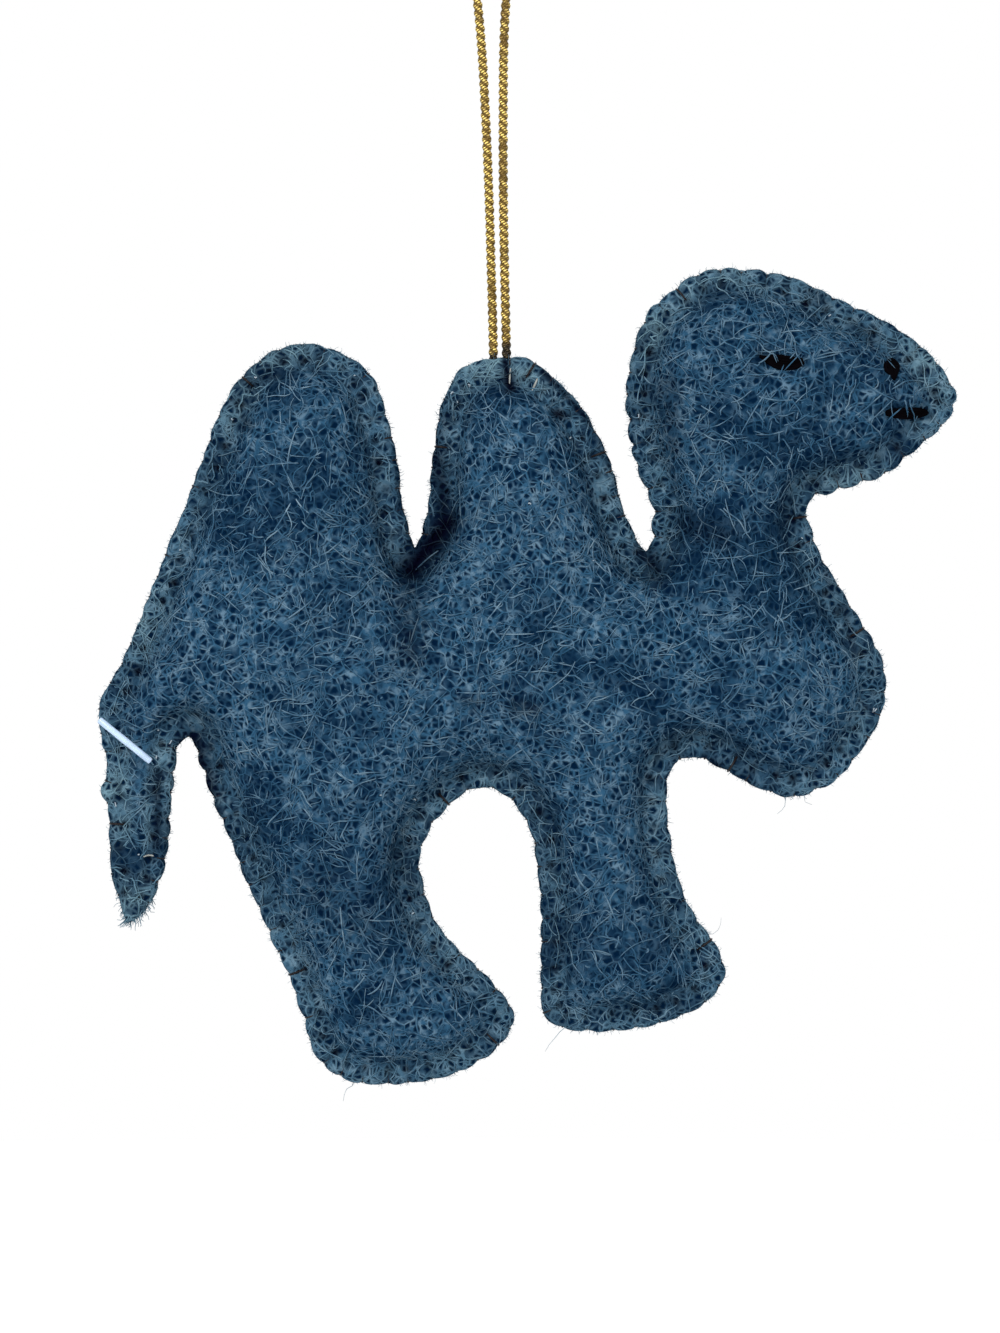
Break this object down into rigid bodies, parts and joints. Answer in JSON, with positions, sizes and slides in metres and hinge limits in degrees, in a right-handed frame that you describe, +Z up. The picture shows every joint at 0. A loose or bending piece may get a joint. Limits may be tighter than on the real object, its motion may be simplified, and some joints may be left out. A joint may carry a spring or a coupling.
{
  "type": "felt christmas ornament",
  "caption": "Hanging ornament: a flat stuffed two-humped camel of whip-stitched blue wool felt, with stitched face and a looped metallic cord at its front hump.",
  "frame": {"origin": "underside of the top of the hanging loop, where it bears on its hook or twig", "axes": "+Z up, +X towards the camel's nose, +Y from the front panel to the back panel"},
  "size_m": [0.1147, 0.021, 0.1592],
  "materials": {
    "felt": "matte",
    "stuffing": "matte",
    "seam_thread": "satin",
    "face_thread": "satin",
    "gold_cord": "gloss",
    "tag_plastic": "satin"
  },
  "bodies": {
    "hanging_loop": {"hanging_cord": "gold_cord"},
    "ornament": {"front_felt_panel": "felt", "back_felt_panel": "felt", "stuffing_torso": "stuffing", "stuffing_chest": "stuffing", "stuffing_head": "stuffing", "stuffing_rear_hump": "stuffing", "stuffing_front_hump": "stuffing", "stuffing_front_leg": "stuffing", "stuffing_rear_leg": "stuffing", "seam_thread_back": "seam_thread", "seam_thread_hump_rear_side": "seam_thread", "seam_thread_hump_neck_side": "seam_thread", "seam_thread_head": "seam_thread", "seam_thread_chest": "seam_thread", "seam_thread_front_leg": "seam_thread", "seam_thread_rear_leg": "seam_thread", "seam_thread_tail": "seam_thread", "front_eye_stitch": "face_thread", "front_nostril_stitch": "face_thread", "front_mouth_stitch": "face_thread", "back_eye_stitch": "face_thread", "back_nostril_stitch": "face_thread", "back_mouth_stitch": "face_thread", "cord_end_knot": "gold_cord"},
    "tag_fastener": {"tag_fastener": "tag_plastic"}
  },
  "joints": [
    {"name": "ornament_swing", "type": "hinge", "parent": "hanging_loop", "child": "ornament", "pos_m": [0.0014, 0, -0.06], "axis": [1, 0, 0], "range_deg": [-90, 90]},
    {"name": "tag_turn", "type": "hinge", "parent": "ornament", "child": "tag_fastener", "pos_m": [-0.04813, 0, -0.11139], "axis": [0, 1, 0], "continuous": true}
  ]
}
